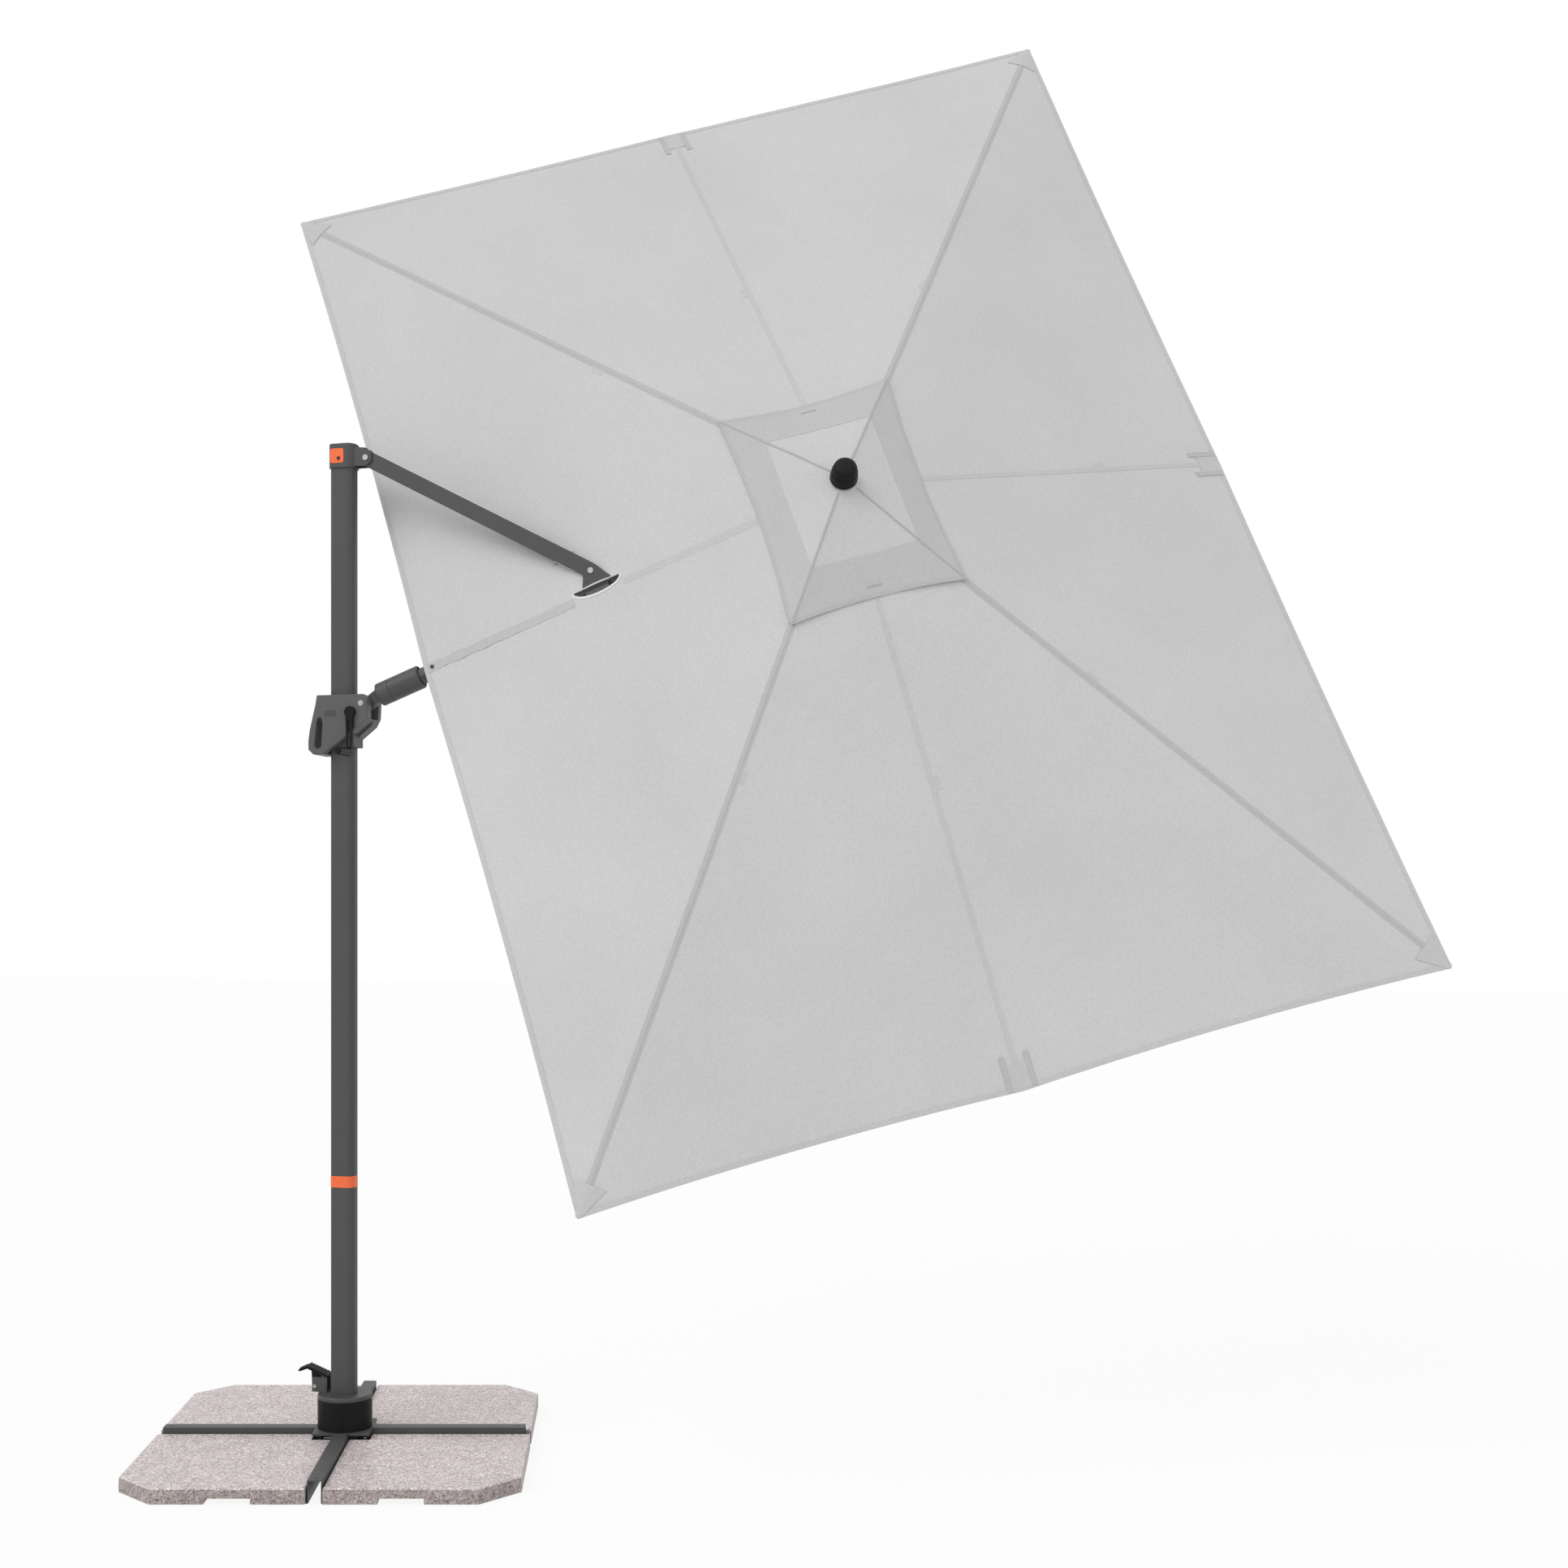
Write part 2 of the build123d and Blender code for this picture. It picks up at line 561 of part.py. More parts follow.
# ---- Ribs ----
class Rib:
    """One rib: bearing about the crown's axis, slope, length and drop under the cloth."""

    def __init__(self, name, bearing):
        self.name = name
        self.bearing = bearing
        turn = radians(bearing)
        along = half_length / abs(cos(turn)) if abs(cos(turn)) > 1e-6 else 1e9
        across = half_width / abs(sin(turn)) if abs(sin(turn)) > 1e-6 else 1e9
        self.reach = min(along, across)
        self.slope = degrees(atan(canopy_rise / self.reach))
        fall = max(abs(sin(turn)) * canopy_rise / half_length, abs(cos(turn)) * canopy_rise / half_width)
        is_corner = min(abs(sin(turn)), abs(cos(turn))) > 0.1
        self.drop = rib_height / 2 + cloth + gap + (fall * rib_width / 2 if is_corner else 0)
        self.depth = pivot_depth(self.slope, self.drop)
        self.length = (self.reach - hub_pivot_radius) / cos(radians(self.slope)) - 12
        self.anchor = stretcher_anchor(self.depth, self.slope, lug_drop)
        self.frame = canopy_frame * Location((0, 0, 0), (0, 0, bearing))


RIBS = [
    Rib("rib_outer", 0),
    Rib("rib_outer_rear", corner_bearing),
    Rib("rib_rear", 90),
    Rib("rib_inner_rear", 180 - corner_bearing),
    Rib("rib_inner_front", 180 + corner_bearing),
    Rib("rib_front", 270),
    Rib("rib_outer_front", 360 - corner_bearing),
]


def rib(r):
    half = rib_height / 2
    side = rib_width / 2
    start = 40.0
    bar = block(start, r.length, -side, side, -half, half)
    bar -= block(start + 8, r.length - 8, -side + rib_wall, side - rib_wall, -half + rib_wall, half - rib_wall)
    bar += block(0, start + 1, -tongue / 2, tongue / 2, -8, 8) + rod_y(8, -tongue / 2, tongue / 2)
    along = r.anchor[0]
    lug = slab([(along - 12, -half + 1), (along + 12, -half + 1), (along + 5, -lug_drop - 3),
                (along - 5, -lug_drop - 3)], -tongue / 2, tongue / 2)
    lug += rod_y(5, -tongue / 2, tongue / 2, x=along, z=-lug_drop)
    bar += lug
    bar -= rod_y(rib_pin_radius + fit, -5, 5)
    bar -= rod_y(rib_pin_radius + fit, -5, 5, x=along, z=-lug_drop)
    place = r.frame * Location((hub_pivot_radius, 0, -r.depth)) * Location((0, 0, 0), (0, r.slope, 0))
    keep(r.name, place * bar)


def stretcher(name, frame, depth, slope, drop, anchor):
    """A bar from a lug under its rib to the runner, with a fork at the rib.

    The rear one carries the runner on a pin; in the others' eyes the pin is cut off flush."""
    along, length, angle = anchor[0], anchor[1], anchor[2]
    size = stretcher_size / 2
    s = radians(slope)
    x = hub_pivot_radius + along * cos(s) - drop * sin(s)
    z = -depth - along * sin(s) - drop * cos(s)
    cheek = tongue / 2 + 0.3
    bar = block(14, length - blade_length + 2, -size, size, -size, size)
    for side in (-1, 1):
        edges = sorted((side * cheek, side * (cheek + 2.2)))
        bar += block(0, 16, edges[0], edges[1], -size, size) + rod_y(size, edges[0], edges[1])
    bar += block(length - blade_length, length, -tongue / 2, tongue / 2, -size, size)
    bar += rod_y(size + 1, -tongue / 2, tongue / 2, x=length)
    if name == carrying_stretcher:
        bar -= rod_y(rib_pin_radius + fit, -5, 5, x=length)
    bar += rod_y(rib_pin_radius, -cheek - 2.2, cheek + 2.2)
    place = frame * Location((x, 0, z)) * Location((0, 0, 0), (0, 90 + angle, 0))
    keep(name, place * bar)


# ---- Crown, finial and runner ----
def runner():
    """A dish with a slot to its centre for each stretcher, about the level of its pins."""
    body = rod_z(crown_radius, -runner_floor - 6, 10)
    body = fillet(body.edges().group_by(Axis.Z)[0], 3)
    for bearing in [r.bearing for r in RIBS] + [180]:
        body -= Rot(0, 0, bearing) * block(0, crown_radius + 5, -tongue / 2 - gap, tongue / 2 + gap,
                                           -runner_floor, 11)
    body -= rod_z(core_radius, -runner_floor, 11)
    rear_pin = rod_y(rib_pin_radius, -tongue / 2 - 2, tongue / 2 + 2, x=hub_pivot_radius)
    return body + Rot(0, 0, 90) * rear_pin


def star(radius, top, bottom, spokes):
    """A slotted disc; each spoke is (bearing, blade width, pin depth, pin radius)."""
    body = rod_z(radius, -bottom, -top)
    body = fillet(body.edges().group_by(Axis.Z)[-1], 3)
    for bearing, blade, depth, pin in spokes:
        body -= Rot(0, 0, bearing) * block(core_radius, radius + 5, -blade / 2 - gap, blade / 2 + gap,
                                           -bottom - 1, -top + 1)
    for bearing, blade, depth, pin in spokes:
        body += Rot(0, 0, bearing) * rod_y(pin, -blade / 2 - 2, blade / 2 + 2, x=hub_pivot_radius, z=-depth)
    return body


def crown():
    spokes = [(r.bearing, tongue, r.depth, rib_pin_radius) for r in RIBS]
    spokes.append((180, boom_tongue, pivot_depth(slope_length, boom_drop), pin_radius))
    body = star(crown_radius, 15, 52, spokes)
    body += rod_z(half_length * vent_eye + 1.3, -16, vent_top - cloth - cap_seat)
    body -= rod_z(4, -30, vent_rise + 5)
    keep("crown", canopy_frame * body)
    knob_base = vent_top + gap
    profile = make_face(Polyline((0, 0, knob_base), (33, 0, knob_base), (34, 0, knob_base + 6),
                                 (22, 0, knob_base + 12), (15, 0, knob_base + 20), (17, 0, knob_base + 30),
                                 (13, 0, knob_base + 38), (0, 0, knob_base + 41), close=True))
    finial = revolve(profile, Axis.Z) + rod_z(4, -28, knob_base + 5)
    keep("finial", canopy_frame * finial)
    keep("runner", canopy_frame * Pos(0, 0, -runner_open) * runner())


# ---- Canopy cloth, one gore to each rib and one to the boom ----
def rim_point(bearing, share, lift):
    """A point of the canopy's four flat panels, at a share of the way to the edge."""
    turn = radians(bearing)
    along = half_length / abs(cos(turn)) if abs(cos(turn)) > 1e-6 else 1e9
    across = half_width / abs(sin(turn)) if abs(sin(turn)) > 1e-6 else 1e9
    reach = min(along, across) * share
    return (reach * cos(turn), reach * sin(turn), -canopy_rise * share + lift)


def panel(from_bearing, to_bearing, inner, outer, lifts):
    """One flat piece of cloth between two bearings."""
    points = [rim_point(from_bearing, inner, lifts[0]), rim_point(from_bearing, outer, lifts[1]),
              rim_point(to_bearing, outer, lifts[1]), rim_point(to_bearing, inner, lifts[0])]
    return prism(points, cloth)


def gore(name, bearing, before, after, is_corner):
    """The cloth from one seam to the next, with its part of the vent cap above."""
    edge = 0.02
    first = bearing - before + edge
    last = bearing + after - edge
    cuts = [first, bearing, last] if is_corner else [first, last]
    main = None
    cap = None
    for start, end in zip(cuts, cuts[1:]):
        piece = panel(start, end, hole_share, 1.0, (0, 0))
        flap = panel(start, end, vent_eye, vent_share, (vent_rise, vent_lift))
        main = piece if main is None else main + piece
        cap = flap if cap is None else cap + flap
    if name == "gore_boom":
        s = radians(slope_length)
        middle = (peak_u - saddle_u + slot_shift) * cos(s)
        lens = Pos(-middle, 0, -canopy_rise / 2) * extrude(
            Ellipse(slot_length / 2 * cos(s), slot_width / 2), amount=canopy_rise, both=True)
        main -= lens
    keep(name, canopy_frame * main, canopy_frame * cap)


def canopy():
    wide = corner_bearing / 2
    narrow = (90 - corner_bearing) / 2
    for r in RIBS:
        name = r.name.replace("rib", "gore")
        turn = r.bearing % 180
        if turn == 0:
            gore(name, r.bearing, wide, wide, False)
        elif turn == 90:
            gore(name, r.bearing, narrow, narrow, False)
        elif turn < 90:
            gore(name, r.bearing, wide, narrow, True)
        else:
            gore(name, r.bearing, narrow, wide, True)
    gore("gore_boom", 180, wide, wide, False)


base_cross()
ballast_plates()
hub()
pedal()
mast()
strut()
carrier()
slider()
crank()
boom()
crown()
for one in RIBS:
    rib(one)
    stretcher(one.name.replace("rib", "stretcher"), one.frame, one.depth, one.slope, lug_drop, one.anchor)
stretcher("stretcher_boom", canopy_frame * Location((0, 0, 0), (0, 0, 180)),
          pivot_depth(slope_length, boom_drop), slope_length, boom_lug_drop, boom_anchor)
canopy()

for node, solids in NODES.items():
    shape = solids[0] if len(solids) == 1 else Compound(children=solids)
    export_step(shape, "parts/" + node + ".step")
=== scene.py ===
import json
from math import atan, copysign, cos, degrees, exp, hypot, pi, radians, sin, tan

import bmesh
import bpy
from mathutils import Matrix, Vector, noise


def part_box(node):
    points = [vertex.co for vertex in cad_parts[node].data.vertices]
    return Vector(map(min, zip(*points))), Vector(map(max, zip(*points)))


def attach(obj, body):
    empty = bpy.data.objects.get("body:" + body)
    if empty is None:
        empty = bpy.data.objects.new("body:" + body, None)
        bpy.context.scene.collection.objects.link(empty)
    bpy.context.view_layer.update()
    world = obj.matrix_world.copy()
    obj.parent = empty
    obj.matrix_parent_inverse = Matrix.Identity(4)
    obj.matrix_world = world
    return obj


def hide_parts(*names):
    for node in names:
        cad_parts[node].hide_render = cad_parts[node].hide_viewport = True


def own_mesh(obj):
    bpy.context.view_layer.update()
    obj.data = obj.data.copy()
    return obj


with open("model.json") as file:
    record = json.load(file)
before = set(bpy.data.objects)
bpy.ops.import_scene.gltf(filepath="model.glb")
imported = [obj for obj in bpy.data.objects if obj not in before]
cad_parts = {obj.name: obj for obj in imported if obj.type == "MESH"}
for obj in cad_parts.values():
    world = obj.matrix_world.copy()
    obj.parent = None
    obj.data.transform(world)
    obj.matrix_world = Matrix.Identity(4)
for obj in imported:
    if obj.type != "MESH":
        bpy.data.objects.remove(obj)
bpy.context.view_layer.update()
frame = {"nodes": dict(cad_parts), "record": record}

# ---- Driving dimensions, metres: the same values as the CAD source ----
half_length = 1.110
half_width = 1.500
rise = 0.395
cloth = 0.0012
vent_share = 0.203          # the cap's edge; its CAD solid reaches a little further
hole_share = 0.125          # the hole in the main cloth; the cap overlaps it
vent_rise = 0.024
vent_lift = 0.009
vent_eye = 0.01
strut_length = 0.698
open_angle = radians(27.8)
boom_angle = radians(21.3)
tilt_angle = radians(75.3)
top_pivot_z = 2.620
pivot_x = 0.066
boom_offset = 0.011
cloth_start = 0.187
boom_drop = 0.0218
base_turn = radians(14.7)
hub_pivot_radius = 0.040

slope_x = atan(rise / half_length)
corner_bearing = degrees(atan(half_width / half_length))
slider_z = top_pivot_z - 2 * strut_length * sin(open_angle)
peak_u = cloth_start + hypot(half_length, rise)
saddle_u = strut_length * cos(open_angle - boom_angle)
saddle_x = -(peak_u - saddle_u) * cos(slope_x)

# ---- Looks of the cloth, metres unless said otherwise ----
hem_scallop = 0.008          # how far the edge pulls in between ribs, as a share
vent_scallop = 0.055
cloth_sag = -0.005           # the cloth's dip between two ribs at the edge; it bulges a little
collar_bulge = 0.0078        # the cloth stands proud over the saddle's collar
hem_width = 0.013
# The rib tapes are darker strips along the ribs: a painted shadow of each rib seen through the cloth.
rib_shadow_tape_width = 0.013
stretcher_joint = 0.739      # a stretcher's joint along its rib
corner_rib_shadow_tape_width = 0.018
cloth_fine_crease = 0.0007
cloth_coarse_crease = 0.0022
gore_columns = 24            # from a rib to a seam
gore_steps = 56              # from the hole to the hem
vent_steps = 18
band_steps = 8
pocket_length = 0.085        # pocket and straps at the end of a middle rib
pocket_strap_side = 0.031
corner_pocket = 0.955        # share along a corner rib where its pocket starts
cover_end_gap = 0.004

# Each band laid on the cloth: its top above the cloth's face, and its thickness.
laid = {
    "hem": (0.0009, 0.0030),
    "rib_shadow_tape": (0.0008, 0.0016),
    "joint_shadow_patch": (0.0007, 0.0014),
    "ridge_seam": (0.0017, 0.0017),
    "tip_pocket": (0.0022, 0.0034),
    "pocket_strap": (0.0024, 0.0022),
    "pocket_patch": (0.0015, 0.0018),
    "vent_hem": (0.0008, 0.0026),
    "vent_tack": (0.0022, 0.0020),
    "vent_seam": (0.0020, 0.0026),
    "cover": (0.0006, 0.0012),
    "inner_cover": (0.0004, 0.0010),
    "binding": (0.0014, 0.0032),
}


def turn(angle, axis):
    return Matrix.Rotation(angle, 4, axis)


def shift(x, y, z):
    return Matrix.Translation((x, y, z))


boom_frame = shift(pivot_x, 0, slider_z) @ turn(-boom_angle, "Y")
axis_frame = boom_frame @ shift(0, 0, boom_offset) @ turn(tilt_angle, "X")
canopy_frame = axis_frame @ shift(peak_u, 0, boom_drop) @ turn(slope_x, "Y")


# ---- Materials ----
def node_tree(name):
    """A new material with its Principled shader, and helpers to add and join nodes."""
    material = bpy.data.materials.new(name)
    material.use_nodes = True
    tree = material.node_tree
    shader = tree.nodes["Principled BSDF"]

    def add(kind, **values):
        node = tree.nodes.new(kind)
        for key, value in values.items():
            if key in node.inputs:
                node.inputs[key].default_value = value
            else:
                setattr(node, key, value)
        return node

    def join(a, output, b, socket):
        tree.links.new(a.outputs[output], b.inputs[socket])

    return material, shader, add, join


def ramp(add, stops):
    node = add("ShaderNodeValToRGB")
    elements = node.color_ramp.elements
    for place, colour in stops[2:]:
        elements.new(place).color = (*colour, 1)
    for element, (place, colour) in zip(elements, stops[:2]):
        element.position = place
        element.color = (*colour, 1)
    return node


def shade(colour, factor):
    return tuple(min(1.0, c * factor) for c in colour)


def surface_material(name, colour, roughness, grain, grain_depth, metallic=0.0, cloudy=0.08, specular=0.5):
    """A paint, plastic or metal: cloudy colour, uneven roughness and a fine grain."""
    material, shader, add, join = node_tree(name)
    place = add("ShaderNodeTexCoord")
    clouds = add("ShaderNodeTexNoise", Scale=9.0, Detail=5.0, Roughness=0.6)
    join(place, "Object", clouds, "Vector")
    tint = ramp(add, [(0.3, shade(colour, 1 - cloudy)), (0.7, shade(colour, 1 + cloudy))])
    join(clouds, "Fac", tint, "Fac")
    join(tint, "Color", shader, "Base Color")
    fine = add("ShaderNodeTexNoise", Scale=grain, Detail=3.0, Roughness=0.7)
    join(place, "Object", fine, "Vector")
    gloss = add("ShaderNodeMapRange")
    gloss.inputs["To Min"].default_value = roughness - 0.06
    gloss.inputs["To Max"].default_value = roughness + 0.08
    join(clouds, "Fac", gloss, "Value")
    join(gloss, "Result", shader, "Roughness")
    bump = add("ShaderNodeBump", Strength=0.5, Distance=grain_depth)
    join(fine, "Fac", bump, "Height")
    join(bump, "Normal", shader, "Normal")
    shader.inputs["Metallic"].default_value = metallic
    shader.inputs["Specular IOR Level"].default_value = specular
    return material


def cloth_material(name, colour, thread=0.0011):
    """Woven polyester: two crossed rows of threads in the canopy's own directions, and soft creases."""
    material, shader, add, join = node_tree(name)
    place = add("ShaderNodeTexCoord")
    mapping = add("ShaderNodeMapping")
    mapping.vector_type = "TEXTURE"
    mapping.inputs["Rotation"].default_value = canopy_frame.to_euler("XYZ")
    join(place, "Object", mapping, "Vector")
    clouds = add("ShaderNodeTexNoise", Scale=2.2, Detail=6.0, Roughness=0.55)
    join(mapping, "Vector", clouds, "Vector")
    tint = ramp(add, [(0.3, shade(colour, 0.965)), (0.7, shade(colour, 1.03))])
    join(clouds, "Fac", tint, "Fac")
    slub = add("ShaderNodeTexNoise", Scale=160.0, Detail=2.0, Roughness=0.5)
    join(mapping, "Vector", slub, "Vector")
    fleck = ramp(add, [(0.35, (0.93, 0.93, 0.93)), (0.65, (1.0, 1.0, 1.0))])
    join(slub, "Fac", fleck, "Fac")
    mix = add("ShaderNodeMix", data_type="RGBA", blend_type="MULTIPLY")
    mix.inputs[0].default_value = 1.0
    tree = material.node_tree
    tree.links.new(tint.outputs["Color"], mix.inputs[6])
    tree.links.new(fleck.outputs["Color"], mix.inputs[7])
    tree.links.new(mix.outputs[2], shader.inputs["Base Color"])
    waves = []
    for direction in ("X", "Y"):
        wave = add("ShaderNodeTexWave", Scale=2 * pi / thread / 20.0)
        wave.bands_direction = direction
        join(mapping, "Vector", wave, "Vector")
        waves.append(wave)
    weave = add("ShaderNodeMath", operation="MAXIMUM")
    tree.links.new(waves[0].outputs["Fac"], weave.inputs[0])
    tree.links.new(waves[1].outputs["Fac"], weave.inputs[1])
    fine = add("ShaderNodeBump", Strength=0.35, Distance=0.0004)
    join(weave, "Value", fine, "Height")
    creases = add("ShaderNodeTexNoise", Scale=6.5, Detail=3.0, Roughness=0.45, Distortion=0.6)
    join(mapping, "Vector", creases, "Vector")
    soft = add("ShaderNodeBump", Strength=0.22, Distance=0.010)
    join(creases, "Fac", soft, "Height")
    join(fine, "Normal", soft, "Normal")
    join(soft, "Normal", shader, "Normal")
    gloss = add("ShaderNodeMapRange")
    gloss.inputs["To Min"].default_value = 0.82
    gloss.inputs["To Max"].default_value = 0.95
    join(slub, "Fac", gloss, "Value")
    join(gloss, "Result", shader, "Roughness")
    shader.inputs["Specular IOR Level"].default_value = 0.25
    shader.inputs["Sheen Weight"].default_value = 0.15
    shader.inputs["Sheen Roughness"].default_value = 0.6
    return material


def granite_material(name):
    """Speckled pinkish granite: pale, pink and dark crystals, finely polished; its upright sides are darker as
    painted shade, for light falling from above.
    """
    material, shader, add, join = node_tree(name)
    place = add("ShaderNodeTexCoord")
    crystals = add("ShaderNodeTexVoronoi", Scale=230.0, Randomness=1.0)
    join(place, "Object", crystals, "Vector")
    pick = add("ShaderNodeSeparateColor")
    join(crystals, "Color", pick, "Color")
    body = ramp(add, [(0.0, (0.36, 0.31, 0.30)), (0.14, (0.58, 0.51, 0.50)),
                      (0.45, (0.69, 0.61, 0.61)), (0.75, (0.76, 0.69, 0.69)), (1.0, (0.84, 0.80, 0.80))])
    join(pick, "Red", body, "Fac")
    specks = add("ShaderNodeTexVoronoi", Scale=420.0, Randomness=1.0)
    join(place, "Object", specks, "Vector")
    dark = add("ShaderNodeSeparateColor")
    join(specks, "Color", dark, "Color")
    mask = ramp(add, [(0.0, (0.35, 0.33, 0.33)), (0.10, (1.0, 1.0, 1.0))])
    mask.color_ramp.interpolation = "CONSTANT"
    join(dark, "Green", mask, "Fac")
    clouds = add("ShaderNodeTexNoise", Scale=14.0, Detail=6.0, Roughness=0.6)
    join(place, "Object", clouds, "Vector")
    veil = ramp(add, [(0.3, (0.88, 0.86, 0.86)), (0.7, (1.04, 1.0, 1.0))])
    join(clouds, "Fac", veil, "Fac")
    # Painted shade: faces that point less upward are made darker, standing in for the light falling from above.
    facing = add("ShaderNodeNewGeometry")
    painted_shade_normal = add("ShaderNodeSeparateXYZ")
    join(facing, "Normal", painted_shade_normal, "Vector")
    edge = ramp(add, [(0.30, (0.55, 0.53, 0.52)), (0.75, (1.0, 1.0, 1.0))])
    join(painted_shade_normal, "Z", edge, "Fac")
    tree = material.node_tree
    last = body.outputs["Color"]
    for layer in (mask, veil, edge):
        mix = add("ShaderNodeMix", data_type="RGBA", blend_type="MULTIPLY")
        mix.inputs[0].default_value = 1.0
        tree.links.new(last, mix.inputs[6])
        tree.links.new(layer.outputs["Color"], mix.inputs[7])
        last = mix.outputs[2]
    tree.links.new(last, shader.inputs["Base Color"])
    gloss = add("ShaderNodeMapRange")
    gloss.inputs["To Min"].default_value = 0.32
    gloss.inputs["To Max"].default_value = 0.55
    join(pick, "Green", gloss, "Value")
    join(gloss, "Result", shader, "Roughness")
    bump = add("ShaderNodeBump", Strength=0.25, Distance=0.0006)
    join(crystals, "Distance", bump, "Height")
    join(bump, "Normal", shader, "Normal")
    return material


paint = surface_material("painted_frame", (0.068, 0.068, 0.070), 0.48, 900.0, 0.0004, specular=0.35)
alloy = surface_material("grey_alloy", (0.066, 0.066, 0.068), 0.45, 1100.0, 0.0003, specular=0.35)
shell_grain = surface_material("grey_shell", (0.085, 0.085, 0.088), 0.52, 1500.0, 0.0004)
black = surface_material("black_plastic", (0.0070, 0.0070, 0.0074), 0.46, 1200.0, 0.0004,
                         cloudy=0.15, specular=0.15)
steel = surface_material("steel", (0.42, 0.42, 0.43), 0.34, 700.0, 0.0002, metallic=1.0)
screw_steel = surface_material("dark_screw", (0.03, 0.03, 0.032), 0.38, 700.0, 0.0002, metallic=0.6)
orange = surface_material("orange_label", (0.88, 0.145, 0.035), 0.40, 600.0, 0.0002, cloudy=0.04)
rubber = surface_material("foot_rubber", (0.02, 0.02, 0.02), 0.75, 500.0, 0.0006)
granite = granite_material("granite")
canopy_cloth = cloth_material("canopy_cloth", (0.605, 0.605, 0.605))
# Darker cloth for the pocket straps; it also paints shade: the shadows of the corner ribs and the darker doubled
# hem of the vent cap.
strap_and_painted_shade_cloth = cloth_material("strap_and_painted_shade_cloth", (0.50, 0.50, 0.50))
# Cloth for hems and pockets, darker than the canopy as painted shade of the doubled cloth; it also paints the
# shadows of the middle ribs and the stretcher joints.
hem_and_painted_shade_cloth = cloth_material("hem_and_painted_shade_cloth", (0.56, 0.56, 0.56))
vent_cloth = cloth_material("vent_cloth", (0.60, 0.60, 0.60))
# Cloth for the ridge seams and the boom's cover strip; it also paints shade on the vent cap where it lies over the
# main cloth.
strip_and_painted_shade_cloth = cloth_material("strip_and_painted_shade_cloth", (0.53, 0.53, 0.53))
binding_cloth = cloth_material("binding_cloth", (0.74, 0.74, 0.74))
dark_cloth = cloth_material("dark_cloth", (0.46, 0.46, 0.465))

slot_materials = {
    "painted_frame": paint, "grey_alloy": alloy, "grey_shell": shell_grain, "black_plastic": black,
    "steel": steel, "orange_label": orange, "granite": granite, "foot_rubber": rubber,
    "canopy_cloth": canopy_cloth,
}
for part in frame["record"]["subparts"]:
    node = frame["nodes"][part["node"]]
    finish = slot_materials[part["material_slot"]]
    if not node.material_slots:
        node.data.materials.append(finish)
    for one in node.material_slots:
        one.material = finish


# ---- The canopy's surface, in its own frame: x along the boom, y across, z outward ----
def fold_bump(x, y):
    """Small creases of the stretched cloth."""
    coarse = noise.noise(Vector((x * 2.3, y * 2.3, 0.4)))
    fine = noise.noise(Vector((x * 9.0, y * 9.0, 3.1)))
    return cloth_coarse_crease * coarse + cloth_fine_crease * fine


def share_of(x, y):
    return max(abs(x) / half_length, abs(y) / half_width)


def between_ribs(x, y):
    """0 on a rib and 1 half-way between two, from the place along the rectangle's side."""
    share = max(share_of(x, y), 1e-6)
    if abs(x) / half_length >= abs(y) / half_width:
        place = abs(y) / (half_width * share)
    else:
        place = abs(x) / (half_length * share)
    return 4 * place * (1 - place)


def main_height(x, y):
    share = share_of(x, y)
    near_rib = 0.35 + 0.65 * share
    over_collar = collar_bulge * exp(-((x - saddle_x) / 0.07) ** 2 - (y / 0.03) ** 2)
    dip = cloth_sag * share * between_ribs(x, y) * near_rib
    return -rise * share - dip + fold_bump(x, y) * share + over_collar


def vent_height(x, y):
    share = share_of(x, y)
    part = (share - vent_eye) / (vent_share - vent_eye)
    lift = vent_rise + (vent_lift - vent_rise) * part
    crease = 0.0035 * noise.noise(Vector((x * 14.0, y * 14.0, 7.7))) * min(1.0, part * 2)
    dip = 0.008 * between_ribs_of_corners(x, y) * part
    return -rise * share + lift - dip + crease * (1 - 0.4 * part)


def between_ribs_of_corners(x, y):
    """0 at a corner of the vent cap and 1 half-way between two."""
    share = max(share_of(x, y), 1e-6)
    if abs(x) / half_length >= abs(y) / half_width:
        place = abs(y) / (half_width * share)
    else:
        place = abs(x) / (half_length * share)
    return 1 - place * place


def rim(bearing):
    """The rectangle's edge point at a bearing, at share 1."""
    angle = radians(bearing)
    along = half_length / abs(cos(angle)) if abs(cos(angle)) > 1e-6 else 1e9
    across = half_width / abs(sin(angle)) if abs(sin(angle)) > 1e-6 else 1e9
    reach = min(along, across)
    return Vector((reach * cos(angle), reach * sin(angle)))


def in_world(point):
    return canopy_frame @ Vector(point)


def mesh_object(name, vertices, faces, material, smooth_angle=50):
    mesh = bpy.data.meshes.new(name)
    mesh.from_pydata([tuple(v) for v in vertices], [], faces)
    mesh.materials.append(material)
    work = bmesh.new()
    work.from_mesh(mesh)
    bmesh.ops.remove_doubles(work, verts=work.verts, dist=1e-6)
    bmesh.ops.recalc_face_normals(work, faces=work.faces)
    for face in work.faces:
        face.smooth = True
    work.to_mesh(mesh)
    work.free()
    mesh.set_sharp_from_angle(angle=radians(smooth_angle))
    made = bpy.data.objects.new(name, mesh)
    bpy.context.scene.collection.objects.link(made)
    return made


